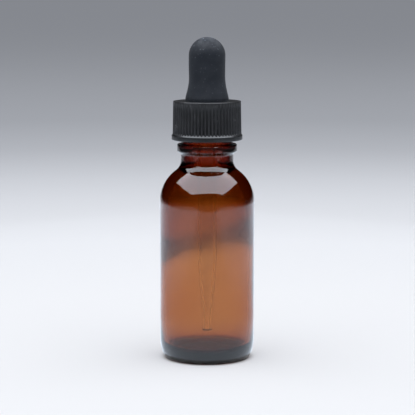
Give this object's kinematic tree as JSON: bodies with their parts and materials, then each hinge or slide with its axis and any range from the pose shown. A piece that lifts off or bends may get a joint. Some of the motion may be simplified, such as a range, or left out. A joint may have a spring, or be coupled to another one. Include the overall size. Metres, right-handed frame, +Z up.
{
  "type": "ink bottle",
  "caption": "Round amber glass dropper bottle for ink, with a ribbed screw cap, a rubber squeeze bulb and a glass pipette.",
  "frame": {"origin": "centre of the base, on the surface the bottle stands on", "axes": "+Z up along the bottle's axis; the screw threads start on the +X side"},
  "size_m": [0.0285, 0.0284, 0.0971],
  "materials": {
    "amber_glass": "smooth transparent amber",
    "black_plastic": "moulded, satin",
    "black_rubber": "matt, a little dusty",
    "clear_glass": "smooth transparent clear"
  },
  "bodies": {
    "bottle": {"bottle": "amber_glass"},
    "dropper": {"bulb": "black_rubber", "pipette": "clear_glass"},
    "cap": {"cap": "black_plastic"}
  },
  "joints": [
    {"name": "dropper_rise", "type": "slide", "parent": "bottle", "child": "dropper", "axis": [0, 0, 1], "range_m": [0, 0.07]},
    {"name": "cap_turn", "type": "hinge", "parent": "dropper", "child": "cap", "pos_m": [0, 0, 0.0664], "axis": [0, 0, 1], "range_deg": [0, 7920]}
  ],
  "couplings": [
    {"joint": "dropper_rise", "follows": "cap_turn", "m_per_rad": 0.00050532}
  ]
}
